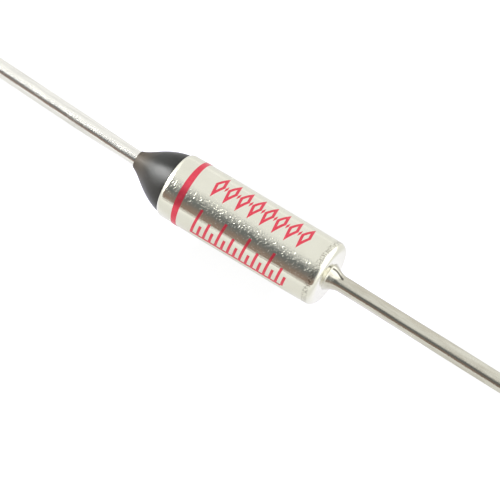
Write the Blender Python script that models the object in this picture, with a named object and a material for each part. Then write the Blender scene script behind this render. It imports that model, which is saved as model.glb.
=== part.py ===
"""Thermal fuse: a closed metal case with one live wire and one insulated wire, lying on its side.

+X runs along the case, from the insulated wire to the closed end. +Z is up.
The origin is on the resting surface, under the middle of the case.
"""

import math

import bmesh
import bpy

MM = 0.001

# Case: a drawn cup, closed at +X, its open rim rolled inwards
CASE_LENGTH = 10.7 * MM
CASE_DIAMETER = 4.0 * MM
CASE_WALL = 0.25 * MM
END_WALL = 0.40 * MM
END_INSIDE_RADIUS = 0.2 * MM
LIP_INSIDE_RADIUS = 0.13 * MM
LIP_REACH = 0.25 * MM

# Lead wires: straight, but for one slight bend where each leaves the body
LEAD_DIAMETER = 1.0 * MM
LEAD_LENGTH = 35.0 * MM
CUT_BEVEL = 0.05 * MM
BEND_LENGTH = 0.6 * MM
ISOLATED_SWEEP = math.radians(3.8)
CASE_SWEEP = math.radians(-0.1)

# Insulated wire's contact head inside the case, a step smaller than the bushing's nose
HEAD_STEP = 0.1 * MM
HEAD_THICKNESS = 0.35 * MM
HEAD_EDGE = 0.08 * MM

# Live wire's shoulder outside the closed end, and its rivet head inside
SHOULDER_DIAMETER = 1.7 * MM
SHOULDER_LENGTH = 0.85 * MM
SHOULDER_FOOT = 0.06 * MM
SHOULDER_SLOPE = math.radians(25)
SHOULDER_BLEND = 0.3 * MM
RIVET_DIAMETER = 1.6 * MM
RIVET_DEPTH = 0.22 * MM

# Ceramic bushing, its chamfer clear of the lip's inside bend, its nose inside the trip spring
BUSHING_LENGTH = 2.15 * MM
BUSHING_EDGE = 0.07 * MM
NOSE_ROOM = 0.8 * MM
NOSE_LENGTH = 0.8 * MM

# Resin seal: a cone drawn out along the wire, from part way up the lip's roll
SEAL_LENGTH = 2.6 * MM
SEAL_TIP_WALL = 0.02 * MM
SEAL_LIP_COVER = math.radians(36)
SEAL_TIP_ANGLE = math.radians(20)
SEAL_BASE_ANGLE = math.radians(12)
SEAL_TIP_FULLNESS = 0.29
SEAL_BASE_FULLNESS = 0.53

# Sliding contact: a disc with fingers that brush the bore of the case
CONTACT_SHEET = 0.12 * MM
CONTACT_MARGIN = 0.05 * MM
CONTACT_BEND_RADIUS = 0.2 * MM
FINGER_LEAN = math.radians(20)
FINGER_COUNT = 8
SLOT_SHARE = 1 / 6

# Discs and pellet
DISC_THICKNESS = 0.25 * MM
DISC_GAP = 0.15 * MM
DISC_EDGE = 0.05 * MM
PELLET_HEIGHT = 2.1 * MM
PELLET_GAP = 0.07 * MM

# Springs: a strong barrel and a light cone
MAIN_WIRE = 0.4 * MM
MAIN_BORE_GAP = 0.2 * MM
MAIN_SWELL = 0.25 * MM
MAIN_TURNS = 4.75
TRIP_WIRE = 0.2 * MM
TRIP_NOSE_GAP = 0.1 * MM
TRIP_TAPER = 0.2 * MM
TRIP_TURNS = 3.0
COIL_GAP = 0.03 * MM

# Clearances of close fits, and of pieces that rest on one another
FIT_GAP = 0.02 * MM
SEAT_GAP = 0.02 * MM

# Fineness of the round shapes
ROUND_STEPS = 48
WIRE_STEPS = 24
ARC_STEPS = 5
COIL_STEPS = 16
MERGE_DISTANCE = 0.0001 * MM
SHARP_ANGLE = math.radians(35)

# Radii that follow from the sizes above
CASE_RADIUS = CASE_DIAMETER / 2
BORE_RADIUS = CASE_RADIUS - CASE_WALL
LEAD_RADIUS = LEAD_DIAMETER / 2
LIP_OUTSIDE_RADIUS = LIP_INSIDE_RADIUS + CASE_WALL
LIP_CENTRE_R = CASE_RADIUS - LIP_OUTSIDE_RADIUS
LIP_HOLE_RADIUS = LIP_CENTRE_R - LIP_REACH
NOSE_RADIUS = BORE_RADIUS - NOSE_ROOM
HEAD_RADIUS = NOSE_RADIUS - HEAD_STEP
TRIP_NARROW_RADIUS = NOSE_RADIUS + TRIP_NOSE_GAP + TRIP_WIRE / 2
CONTACT_FLAT_RADIUS = TRIP_NARROW_RADIUS + TRIP_WIRE / 2 + CONTACT_MARGIN

# Places along the axis that follow from them, from the open end to the closed one
OPEN_END_X = -CASE_LENGTH / 2
BUSHING_X = OPEN_END_X + CASE_WALL + SEAT_GAP
TRIP_SPRING_X = BUSHING_X + BUSHING_LENGTH + SEAT_GAP
HEAD_X = BUSHING_X + BUSHING_LENGTH + NOSE_LENGTH + SEAT_GAP
CONTACT_X = HEAD_X + HEAD_THICKNESS + SEAT_GAP
CONTACT_DISC_X = CONTACT_X + CONTACT_SHEET + SEAT_GAP
MAIN_SPRING_X = CONTACT_DISC_X + DISC_THICKNESS + SEAT_GAP
CLOSED_END_X = CASE_LENGTH / 2
PELLET_X = CLOSED_END_X - END_WALL - SEAT_GAP - PELLET_HEIGHT
PELLET_DISC_X = PELLET_X - SEAT_GAP - DISC_THICKNESS
SHOULDER_X = CLOSED_END_X + SEAT_GAP


def clear_scene():
    """Remove whatever the scene holds."""
    for old in list(bpy.data.objects):
        bpy.data.objects.remove(old)


def finish(name, colour, metallic, roughness):
    """A plain material for one piece."""
    material = bpy.data.materials.new(name)
    material.use_nodes = True
    shader = material.node_tree.nodes["Principled BSDF"]
    shader.inputs["Base Color"].default_value = (*colour, 1.0)
    shader.inputs["Metallic"].default_value = metallic
    shader.inputs["Roughness"].default_value = roughness
    material.diffuse_color = (*colour, 1.0)
    return material


def axis_point(name, x, carrier=None):
    """An empty on the axis of the case, x further along than its carrier."""
    point = bpy.data.objects.new(name, None)
    bpy.context.scene.collection.objects.link(point)
    point.location.x = x
    point.parent = carrier
    return point


def place(name, data, material, carrier, x=0.0):
    """A named object on the axis of the case, carried by an empty."""
    piece = bpy.data.objects.new(name, data)
    bpy.context.scene.collection.objects.link(piece)
    data.materials.append(material)
    piece.parent = carrier
    piece.location.x = x
    return piece


def arc(centre_x, centre_r, radius, start, end):
    """Points (x, r) of an arc, its angles measured from +x towards +r."""
    turns = [start + (end - start) * i / ARC_STEPS for i in range(ARC_STEPS + 1)]
    return [(centre_x + radius * math.cos(a), centre_r + radius * math.sin(a)) for a in turns]


def curve_between(start, start_pull, end_pull, end, steps):
    """Points of a cubic curve from start to end, drawn towards its two pull points."""
    points = []
    for i in range(steps + 1):
        t = i / steps
        shares = ((1 - t) ** 3, 3 * t * (1 - t) ** 2, 3 * t * t * (1 - t), t**3)
        corners = (start, start_pull, end_pull, end)
        points.append(tuple(sum(s * c[k] for s, c in zip(shares, corners)) for k in (0, 1)))
    return points


def spin_round(profile, steps, ring=False):
    """A mesh in the making: (x, r) points turned round the X axis. A ring's profile closes on itself."""
    shape = bmesh.new()
    points = [shape.verts.new((x, 0.0, -r)) for x, r in profile]
    pairs = list(zip(points, points[1:]))
    if ring:
        pairs.append((points[-1], points[0]))
    edges = [shape.edges.new(pair) for pair in pairs]
    bmesh.ops.spin(
        shape, geom=points + edges, cent=(0, 0, 0), axis=(1, 0, 0), angle=math.tau, steps=steps
    )
    bmesh.ops.remove_doubles(shape, verts=shape.verts, dist=MERGE_DISTANCE)
    bmesh.ops.recalc_face_normals(shape, faces=shape.faces)
    return shape


def to_mesh(name, shape):
    """Turn a mesh in the making into mesh data with smooth round faces and sharp edges."""
    data = bpy.data.meshes.new(name)
    shape.to_mesh(data)
    shape.free()
    data.shade_smooth()
    data.set_sharp_from_angle(angle=SHARP_ANGLE)
    return data


def turned(name, profile, ring=False):
    """Mesh data of a body of revolution round the X axis."""
    return to_mesh(name, spin_round(profile, ROUND_STEPS, ring))


def lead_drift(distance, sweep, reach):
    """How far a wire is off the axis, sideways and up, at a distance past the start of its bend.

    Its tip, at reach, comes down to the resting surface.
    """
    if distance < BEND_LENGTH:
        run = max(distance, 0.0) ** 2 / (2 * BEND_LENGTH)
    else:
        run = distance - BEND_LENGTH / 2
    fall = (CASE_RADIUS - LEAD_RADIUS) / (reach - BEND_LENGTH / 2)
    return run * math.tan(sweep), -run * fall


def bend_along(shape, start_x, direction, sweep, reach):
    """Shift a turned shape section by section, so that it follows the bent wire."""
    for vert in shape.verts:
        distance = (vert.co.x - start_x) * direction
        aside, up = lead_drift(distance, sweep, reach)
        vert.co.y += aside
        vert.co.z += up


def bend_stations(start_x, direction):
    """Places along a wire where its bend needs a ring of points."""
    return [start_x + direction * BEND_LENGTH * i / ARC_STEPS for i in range(ARC_STEPS + 1)]


def case_profile():
    """Section of the cup, from x = 0 at its open rim: outside, end face, rivet hole, inside, lip."""
    quarter = math.pi / 2
    end_outside = END_INSIDE_RADIUS + CASE_WALL
    floor_x = CASE_LENGTH - END_WALL
    hole_r = LEAD_RADIUS + FIT_GAP
    sink_r = RIVET_DIAMETER / 2 + FIT_GAP
    section = [(0.0, LIP_HOLE_RADIUS)]
    section += arc(LIP_OUTSIDE_RADIUS, LIP_CENTRE_R, LIP_OUTSIDE_RADIUS, 2 * quarter, quarter)
    section += arc(CASE_LENGTH - end_outside, CASE_RADIUS - end_outside, end_outside, quarter, 0)
    section += [(CASE_LENGTH, hole_r), (floor_x + RIVET_DEPTH, hole_r), (floor_x, sink_r)]
    inside_r = BORE_RADIUS - END_INSIDE_RADIUS
    section += arc(floor_x - END_INSIDE_RADIUS, inside_r, END_INSIDE_RADIUS, 0, quarter)
    section += arc(LIP_OUTSIDE_RADIUS, LIP_CENTRE_R, LIP_INSIDE_RADIUS, quarter, 2 * quarter)
    section += [(CASE_WALL, LIP_HOLE_RADIUS)]
    return section


def make_case(carrier):
    """The drawn cup."""
    plate = finish("plated_case", (0.80, 0.80, 0.77), 1.0, 0.22)
    place("case", turned("case", case_profile(), ring=True), plate, carrier, OPEN_END_X)


def bushing_profile():
    """Section of the bushing, from x = 0 at its back face."""
    outer = BORE_RADIUS - FIT_GAP
    bore = LEAD_RADIUS + FIT_GAP
    length = BUSHING_LENGTH + NOSE_LENGTH
    chamfer = LIP_INSIDE_RADIUS + BUSHING_EDGE
    return [
        (0.0, bore),
        (0.0, outer - chamfer),
        (chamfer, outer),
        (BUSHING_LENGTH - BUSHING_EDGE, outer),
        (BUSHING_LENGTH, outer - BUSHING_EDGE),
        (BUSHING_LENGTH, NOSE_RADIUS),
        (length - BUSHING_EDGE, NOSE_RADIUS),
        (length, NOSE_RADIUS - BUSHING_EDGE),
        (length, bore),
    ]


def make_bushing(carrier):
    """The stepped ceramic insulator that centres the insulated wire."""
    ceramic = finish("white_ceramic", (0.86, 0.84, 0.80), 0.0, 0.5)
    place("bushing", turned("bushing", bushing_profile(), ring=True), ceramic, carrier, BUSHING_X)


def make_isolated_lead(carrier):
    """The insulated wire: a bent shank through the bushing, with a forged contact head inside."""
    tinned = finish("tinned_isolated_wire", (0.78, 0.77, 0.74), 1.0, 0.25)
    tip_x = OPEN_END_X - LEAD_LENGTH - BUSHING_X
    head_x = HEAD_X - BUSHING_X
    face_x = head_x + HEAD_THICKNESS
    edge_r = HEAD_RADIUS - HEAD_EDGE
    profile = [(tip_x, 0.0), (tip_x, LEAD_RADIUS - CUT_BEVEL), (tip_x + CUT_BEVEL, LEAD_RADIUS)]
    profile += [(x, LEAD_RADIUS) for x in reversed(bend_stations(0.0, -1))]
    profile += [(head_x, LEAD_RADIUS), (head_x, edge_r), (head_x + HEAD_EDGE, HEAD_RADIUS)]
    profile += [(face_x - HEAD_EDGE, HEAD_RADIUS), (face_x, edge_r), (face_x, 0.0)]
    shape = spin_round(profile, WIRE_STEPS)
    bend_along(shape, 0.0, -1, ISOLATED_SWEEP, -tip_x)
    place("isolated_lead", to_mesh("isolated_lead", shape), tinned, carrier, BUSHING_X)


def seal_cone(edge):
    """Outline of the resin from its thin tip on the wire to its edge on the lip."""
    tip_x = -SEAL_LENGTH
    tip_r = LEAD_RADIUS + FIT_GAP + SEAL_TIP_WALL
    tip_pull = SEAL_LENGTH * SEAL_TIP_FULLNESS
    base_pull = SEAL_LENGTH * SEAL_BASE_FULLNESS
    from_tip = (tip_x + tip_pull * math.cos(SEAL_TIP_ANGLE), tip_r + tip_pull * math.sin(SEAL_TIP_ANGLE))
    to_edge = (
        edge[0] - base_pull * math.cos(SEAL_BASE_ANGLE),
        edge[1] - base_pull * math.sin(SEAL_BASE_ANGLE),
    )
    return curve_between((tip_x, tip_r), from_tip, to_edge, edge, 2 * ARC_STEPS)


def seal_profile(bend_start):
    """Section of the resin, from x = 0 at the rim of the case: cone, seat on the lip, plug, bore."""
    bore = LEAD_RADIUS + FIT_GAP
    plug_r = LIP_HOLE_RADIUS - FIT_GAP
    seat_radius = LIP_OUTSIDE_RADIUS + SEAT_GAP
    seat = arc(LIP_OUTSIDE_RADIUS, LIP_CENTRE_R, seat_radius, math.pi - SEAL_LIP_COVER, math.pi)
    section = seal_cone(seat[0]) + seat[1:]
    section += [(-SEAT_GAP, plug_r), (CASE_WALL, plug_r), (CASE_WALL, bore)]
    section += [(x, bore) for x in bend_stations(bend_start, -1) if x < CASE_WALL]
    section += [(-SEAL_LENGTH, bore)]
    return section


def make_seal(carrier):
    """The resin cone that closes the rim and holds the insulated wire."""
    resin = finish("dark_resin", (0.045, 0.045, 0.042), 0.0, 0.38)
    bend_start = BUSHING_X - OPEN_END_X
    shape = spin_round(seal_profile(bend_start), ROUND_STEPS, ring=True)
    bend_along(shape, bend_start, -1, ISOLATED_SWEEP, LEAD_LENGTH + bend_start)
    place("resin_seal", to_mesh("resin_seal", shape), resin, carrier, OPEN_END_X)


def shoulder_profile():
    """Outline of the live wire's shoulder, from x = 0 at the closed end down to the wire."""
    rim_r = SHOULDER_DIAMETER / 2
    foot_r = rim_r - SHOULDER_FOOT
    slope_r = foot_r - SHOULDER_BLEND * math.tan(SHOULDER_SLOPE)
    taper = curve_between(
        (SHOULDER_FOOT, foot_r),
        (SHOULDER_FOOT + SHOULDER_BLEND, max(slope_r, LEAD_RADIUS)),
        (SHOULDER_LENGTH - SHOULDER_BLEND, LEAD_RADIUS),
        (SHOULDER_LENGTH, LEAD_RADIUS),
        ARC_STEPS,
    )
    return [(0.0, LEAD_RADIUS), (0.0, rim_r)] + taper


def make_case_lead(carrier):
    """The live wire: riveted flush inside the closed end, with a tapered shoulder outside."""
    tinned = finish("tinned_case_wire", (0.72, 0.71, 0.67), 1.0, 0.3)
    inner_x = -END_WALL - SEAT_GAP
    tip_x = LEAD_LENGTH - SEAT_GAP
    profile = [(inner_x, 0.0), (inner_x, RIVET_DIAMETER / 2), (inner_x + RIVET_DEPTH, LEAD_RADIUS)]
    profile += shoulder_profile()
    profile += [(x, LEAD_RADIUS) for x in bend_stations(SHOULDER_LENGTH, 1)[1:]]
    profile += [(tip_x - CUT_BEVEL, LEAD_RADIUS), (tip_x, LEAD_RADIUS - CUT_BEVEL), (tip_x, 0.0)]
    shape = spin_round(profile, WIRE_STEPS)
    bend_along(shape, SHOULDER_LENGTH, 1, CASE_SWEEP, tip_x - SHOULDER_LENGTH)
    place("case_lead", to_mesh("case_lead", shape), tinned, carrier, SHOULDER_X)


def disc_profile(radius, thickness, edge):
    """Section of a solid disc with its edges broken, from x = 0 at one face."""
    return [
        (0.0, 0.0),
        (0.0, radius - edge),
        (edge, radius),
        (thickness - edge, radius),
        (thickness, radius - edge),
        (thickness, 0.0),
    ]


def make_disc(name, carrier, x=0.0):
    """One of the two spring discs."""
    steel = finish(name + "_steel", (0.62, 0.62, 0.60), 1.0, 0.35)
    profile = disc_profile(BORE_RADIUS - DISC_GAP, DISC_THICKNESS, DISC_EDGE)
    place(name, turned(name, profile), steel, carrier, x)


def make_pellet(carrier):
    """The organic pellet that fills the closed end until it melts, its edge clear of the inside corner."""
    organic = finish("organic_pellet", (0.80, 0.74, 0.58), 0.0, 0.7)
    profile = disc_profile(BORE_RADIUS - PELLET_GAP, PELLET_HEIGHT, END_INSIDE_RADIUS / 2)
    place("pellet", turned("pellet", profile), organic, carrier, PELLET_X)


def contact_profile():
    """Middle line of the contact's sheet, from its centre out to a fingertip near the bore."""
    middle_x = CONTACT_SHEET / 2
    bend_x = middle_x - CONTACT_BEND_RADIUS
    bend = arc(bend_x, CONTACT_FLAT_RADIUS, CONTACT_BEND_RADIUS, 0, math.pi / 2 - FINGER_LEAN)
    end_x, end_r = bend[-1]
    tip_r = BORE_RADIUS - FIT_GAP - CONTACT_SHEET / 2
    tip_x = end_x - (tip_r - end_r) / math.tan(FINGER_LEAN)
    return [(middle_x, 0.0), (middle_x, CONTACT_FLAT_RADIUS / 2)] + bend + [(tip_x, tip_r)]


def make_contact(carrier):
    """The sliding contact: a thin disc whose slotted rim makes springy fingers."""
    silver = finish("silvered_contact", (0.88, 0.87, 0.84), 1.0, 0.2)
    shape = spin_round(contact_profile(), ROUND_STEPS)
    pitch = math.tau / FINGER_COUNT
    slots = []
    for face in shape.faces:
        middle = face.calc_center_median()
        share = math.atan2(middle.y, middle.z) % pitch / pitch
        if math.hypot(middle.y, middle.z) > CONTACT_FLAT_RADIUS and share < SLOT_SHARE:
            slots.append(face)
    bmesh.ops.delete(shape, geom=slots, context="FACES")
    contact = place("star_contact", to_mesh("star_contact", shape), silver, carrier)
    sheet = contact.modifiers.new("sheet", "SOLIDIFY")
    sheet.thickness = CONTACT_SHEET
    sheet.offset = 0.0
    sheet.use_even_offset = True


def coil_x(turn, turns, length, wire):
    """How far along a spring is after some turns: close coils at both ends, even pitch between."""
    close = wire + COIL_GAP
    open_pitch = (length - 2 * close) / (turns - 2)
    if turn < 1:
        return turn * close
    return close + min(turn - 1, turns - 2) * open_pitch + max(turn - turns + 1, 0) * close


def coil(name, length, turns, wire, radius_at):
    """Curve data of a coil spring along +X, from x = 0, its radius given for each share of its turns."""
    data = bpy.data.curves.new(name, "CURVE")
    data.dimensions = "3D"
    data.bevel_depth = wire / 2
    data.bevel_resolution = 2
    data.use_fill_caps = True
    steps = round(turns * COIL_STEPS)
    spline = data.splines.new("POLY")
    spline.points.add(steps)
    for i, point in enumerate(spline.points):
        turn = turns * i / steps
        radius = radius_at(i / steps)
        angle = math.tau * turn
        x = wire / 2 + coil_x(turn, turns, length - wire, wire)
        point.co = (x, radius * math.sin(angle), radius * math.cos(angle), 1.0)
    return data


def make_main_spring(carrier):
    """The strong barrel spring between the two discs."""
    steel = finish("main_spring_steel", (0.55, 0.55, 0.54), 1.0, 0.3)
    length = PELLET_DISC_X - SEAT_GAP - MAIN_SPRING_X
    end_r = BORE_RADIUS - MAIN_BORE_GAP - MAIN_WIRE / 2 - MAIN_SWELL

    def barrel(share):
        return end_r + MAIN_SWELL * math.sin(math.pi * share)

    data = coil("main_spring", length, MAIN_TURNS, MAIN_WIRE, barrel)
    place("main_spring", data, steel, carrier, MAIN_SPRING_X - CONTACT_X)


def make_trip_spring(carrier):
    """The light conical spring round the bushing's nose, which pushes the contact open."""
    steel = finish("trip_spring_steel", (0.60, 0.60, 0.58), 1.0, 0.3)
    length = CONTACT_X - SEAT_GAP - TRIP_SPRING_X

    def cone(share):
        return TRIP_NARROW_RADIUS + TRIP_TAPER * (1 - share)

    data = coil("trip_spring", length, TRIP_TURNS, TRIP_WIRE, cone)
    place("trip_spring", data, steel, carrier, TRIP_SPRING_X)


def main():
    """Build every piece on the axis of the case, with the sliding ones on empties of their own."""
    clear_scene()
    axis = axis_point("case_axis", 0.0)
    axis.location.z = CASE_RADIUS
    contact_slide = axis_point("contact_slide", CONTACT_X, axis)
    plate_slide = axis_point("plate_slide", PELLET_DISC_X - CONTACT_X, contact_slide)
    make_case(axis)
    make_bushing(axis)
    make_isolated_lead(axis)
    make_seal(axis)
    make_case_lead(axis)
    make_pellet(axis)
    make_trip_spring(axis)
    make_main_spring(contact_slide)
    make_contact(contact_slide)
    make_disc("contact_disc", contact_slide, CONTACT_DISC_X - CONTACT_X)
    make_disc("pellet_disc", plate_slide)


main()
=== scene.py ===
# %% [markdown]
# A thermal fuse, dressed for its portrait.
# The real thing is a bright metal can, 4 mm across, with a wire at each end and a cone of dark
# resin over its open mouth. Inside, a pellet of wax-like stuff holds a sliding contact shut
# against two springs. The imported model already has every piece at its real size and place.
# This script keeps those places and gives each piece a finer surface and a real finish.

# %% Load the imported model
import math

import bmesh
import bpy
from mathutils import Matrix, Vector


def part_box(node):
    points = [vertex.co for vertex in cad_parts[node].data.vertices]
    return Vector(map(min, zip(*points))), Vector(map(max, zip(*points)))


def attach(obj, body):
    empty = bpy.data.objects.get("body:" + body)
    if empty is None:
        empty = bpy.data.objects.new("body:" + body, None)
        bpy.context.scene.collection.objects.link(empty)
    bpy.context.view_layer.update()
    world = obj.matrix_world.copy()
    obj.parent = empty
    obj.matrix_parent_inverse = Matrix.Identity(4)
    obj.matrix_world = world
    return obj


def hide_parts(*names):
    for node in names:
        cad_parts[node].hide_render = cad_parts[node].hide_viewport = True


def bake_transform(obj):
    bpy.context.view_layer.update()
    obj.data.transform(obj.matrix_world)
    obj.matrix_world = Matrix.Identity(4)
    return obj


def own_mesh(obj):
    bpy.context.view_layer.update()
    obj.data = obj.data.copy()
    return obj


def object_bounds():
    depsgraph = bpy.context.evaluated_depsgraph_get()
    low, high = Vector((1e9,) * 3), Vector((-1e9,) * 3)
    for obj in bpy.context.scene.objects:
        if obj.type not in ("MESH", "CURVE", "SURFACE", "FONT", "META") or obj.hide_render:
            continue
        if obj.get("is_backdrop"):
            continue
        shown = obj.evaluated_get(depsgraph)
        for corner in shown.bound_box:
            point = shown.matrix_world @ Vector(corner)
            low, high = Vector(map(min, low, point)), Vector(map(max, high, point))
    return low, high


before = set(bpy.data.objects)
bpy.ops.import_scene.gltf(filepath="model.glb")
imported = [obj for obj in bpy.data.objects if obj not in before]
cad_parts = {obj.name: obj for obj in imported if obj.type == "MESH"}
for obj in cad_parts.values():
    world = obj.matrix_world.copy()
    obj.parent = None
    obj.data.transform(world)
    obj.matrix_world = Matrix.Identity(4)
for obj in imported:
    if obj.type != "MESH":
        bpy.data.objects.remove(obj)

CAD_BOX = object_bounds()
print("pieces:", sorted(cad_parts))

# %% [markdown]
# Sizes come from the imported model, so that they are written once. A box round a piece gives its
# length and its radius, because each piece is turned about the axis of the case. What a box can't
# tell, such as the radius of a rolled edge, is a named size next to the piece that needs it.

# %% Places along the axis, read from the boxes
MM = 0.001
DEGREE = math.radians(1)


def span(node):
    """Where a piece starts and ends along the axis."""
    low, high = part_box(node)
    return low.x, high.x


def radius_of(node):
    """Half the height of a piece that is turned about the axis."""
    low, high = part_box(node)
    return (high.z - low.z) / 2


CASE_START, CASE_END = span("case")
CASE_RADIUS = radius_of("case")
AXIS_Z = (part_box("case")[0].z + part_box("case")[1].z) / 2
WIRE_START = span("isolated_lead")[0]
WIRE_END = span("case_lead")[1]
LEAD_RADIUS = 0.5 * MM
CASE_WALL = 0.25 * MM
BORE_RADIUS = CASE_RADIUS - CASE_WALL
SEAT_GAP = 0.02 * MM
print(f"case {1000 * (CASE_END - CASE_START):.2f} mm long, {2000 * CASE_RADIUS:.2f} mm across")

# %% [markdown]
# The camera comes first, because every later choice is judged through it. The photograph was
# taken from well above and far away with a long lens, which flattens perspective. A far camera
# with a long lens does the same. Its place follows from two facts: how many pixels of the
# photograph a millimetre covers, and which pixel the middle of the case falls on.

# %% Camera
PHOTO_SIZE = 500
PIXELS_PER_MM = 17.6
CASE_MIDDLE_PIXEL = (251.4, 229.8)
CAMERA_AZIMUTH = 34 * DEGREE
CAMERA_ELEVATION = 63 * DEGREE
CAMERA_DISTANCE = 0.25
SENSOR = 36.0

towards_camera = Vector((
    math.sin(CAMERA_AZIMUTH) * math.cos(CAMERA_ELEVATION),
    -math.cos(CAMERA_AZIMUTH) * math.cos(CAMERA_ELEVATION),
    math.sin(CAMERA_ELEVATION),
))
picture_right = Vector((math.cos(CAMERA_AZIMUTH), math.sin(CAMERA_AZIMUTH), 0.0))
picture_up = towards_camera.cross(picture_right)
pixel = MM / PIXELS_PER_MM
aim = Vector((0.0, 0.0, AXIS_Z))
aim += picture_right * (PHOTO_SIZE / 2 - CASE_MIDDLE_PIXEL[0]) * pixel
aim -= picture_up * (PHOTO_SIZE / 2 - CASE_MIDDLE_PIXEL[1]) * pixel


def shown(name, data):
    """A new object in the scene."""
    thing = bpy.data.objects.new(name, data)
    bpy.context.scene.collection.objects.link(thing)
    return thing


camera = shown("camera", bpy.data.cameras.new("camera"))
bpy.context.scene.camera = camera
camera.data.sensor_width = SENSOR
camera.data.lens = SENSOR * CAMERA_DISTANCE / (PHOTO_SIZE * pixel)
camera.data.clip_start = CAMERA_DISTANCE / 100
camera.data.clip_end = CAMERA_DISTANCE * 100
camera.location = aim + towards_camera * CAMERA_DISTANCE
camera.rotation_mode = "QUATERNION"
camera.rotation_quaternion = towards_camera.to_track_quat("Z", "Y")
print(f"lens {camera.data.lens:.0f} mm at {1000 * CAMERA_DISTANCE:.0f} mm")

# %% [markdown]
# Node trees are written here as sums. A small class wraps one output socket and turns + - * / into
# Math nodes, so that a mask or a bend reads like the formula that it is. A second class adds any
# other node in one call: its kind, its settings, then what goes into its sockets.

# %% Sums on sockets, and one way to add a node


def sum_of(operation, reflected=False):
    """A method that adds a Math node on its signal and one other term."""

    def method(self, other):
        terms = (other, self) if reflected else (self, other)
        return self.math(operation, *terms)

    return method


def curve_of(operation):
    """A method that adds a Math node on its signal alone."""
    return lambda self: self.math(operation, self)


class Signal:
    """One output socket of a node tree, ready for sums."""

    def __init__(self, tree, socket):
        self.tree = tree
        self.socket = socket

    def math(self, operation, *terms):
        """A Math node on these terms."""
        node = self.tree.nodes.new("ShaderNodeMath")
        node.operation = operation
        for slot, term in zip(node.inputs, terms):
            feed(self.tree, slot, term)
        return Signal(self.tree, node.outputs[0])

    __add__, __radd__ = sum_of("ADD"), sum_of("ADD", True)
    __sub__, __rsub__ = sum_of("SUBTRACT"), sum_of("SUBTRACT", True)
    __mul__, __rmul__ = sum_of("MULTIPLY"), sum_of("MULTIPLY", True)
    __truediv__ = sum_of("DIVIDE")
    at_least, at_most = sum_of("MAXIMUM"), sum_of("MINIMUM")
    whole, size = curve_of("FLOOR"), curve_of("ABSOLUTE")
    sine, cosine = curve_of("SINE"), curve_of("COSINE")


def feed(tree, slot, value):
    """Link a signal into a socket, or set a plain value on it."""
    if isinstance(value, Signal):
        tree.links.new(value.socket, slot)
    else:
        slot.default_value = value


def picked(sockets, name):
    """A node's socket, by its number or its name."""
    if isinstance(name, int):
        return sockets[name]
    return next(s for s in sockets if s.enabled and s.name == name)


class Recipe:
    """A node tree in the making."""

    def __init__(self, tree):
        self.tree = tree
        tree.nodes.clear()

    def add(self, kind, settings=None, sockets=None):
        """One node: its settings first, then the values or signals of its sockets."""
        node = self.tree.nodes.new(kind)
        for name, value in (settings or {}).items():
            setattr(node, name, value)
        for name, value in (sockets or {}).items():
            feed(self.tree, picked(node.inputs, name), value)
        return node

    def out(self, node, name=0):
        """One output of a node as a signal."""
        return Signal(self.tree, picked(node.outputs, name))

    def made(self, kind, settings=None, sockets=None, name=0):
        """Add a node and hand back one of its outputs."""
        return self.out(self.add(kind, settings, sockets), name)

    def parts(self, vector):
        """The X, Y and Z of a vector."""
        node = self.add("ShaderNodeSeparateXYZ", None, {0: vector})
        return [self.out(node, i) for i in range(3)]

    def grey(self, level):
        """A colour of one level."""
        return self.made("ShaderNodeCombineColor", None, {0: level, 1: level, 2: level})


print("sockets can be added, and nodes made")

# %% [markdown]
# The light is a photographer's white tent. Shiny metal shows little of its own colour: what it
# shows is the tent. So the tent was read back from the photograph: for each spot of the can, the
# way the surface faces says which way it mirrors. Bright paper lies nearly all round. In front
# stands one dim patch, the gap that the lens looks through, which makes the dark stripe along the
# can: crisp below and soft above, with a bump in its top that darkens the roll of the rim. Cards
# would do it, but would stand in the way of other views, so the tent is painted on the world by
# direction.

# %% World: a white tent with a dim patch
TENT_LIGHT = 0.93
PATCH_LOW, PATCH_LOW_BLUR = 5.5 * DEGREE, 1.5 * DEGREE
PATCH_HIGH, PATCH_HIGH_BLUR = 60 * DEGREE, 11 * DEGREE
PATCH_TURN, PATCH_HIGH_SLOPES = -0.254, (57 * DEGREE, 20 * DEGREE)
PATCH_BUMP, PATCH_BUMP_START, PATCH_BUMP_END = 28 * DEGREE, (-0.48, -0.42), (-0.31, -0.24)
PATCH_LEFT, PATCH_LEFT_BLUR = -0.74, 0.06
PATCH_RIGHT, PATCH_RIGHT_BLUR = 0.70, 0.12
PATCH_TABLE_TONE = (0.285, 0.205, 0.170, 1.0)
PATCH_ROOM_TONE = (0.150, 0.160, 0.166, 1.0)
PATCH_TONE_CHANGE = (14 * DEGREE, 44 * DEGREE)

world = bpy.data.worlds.new("tent")
bpy.context.scene.world = world
world.use_nodes = True
tent = Recipe(world.node_tree)


def ramp(recipe, value, start, end):
    """A signal that rises smoothly from 0 at start to 1 at end."""
    return recipe.made(
        "ShaderNodeMapRange",
        {"interpolation_type": "SMOOTHSTEP"},
        {"Value": value, "From Min": start, "From Max": end},
    )


def edge(recipe, value, middle, blur):
    """A soft step from 0 to 1 about its middle."""
    return ramp(recipe, value, middle - blur, middle + blur)


def mixed(recipe, share, first, second):
    """A colour between two, by a share from 0 to 1."""
    sockets = {"Factor": share, "A": first, "B": second}
    return recipe.made("ShaderNodeMix", {"data_type": "RGBA"}, sockets, "Result")


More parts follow.
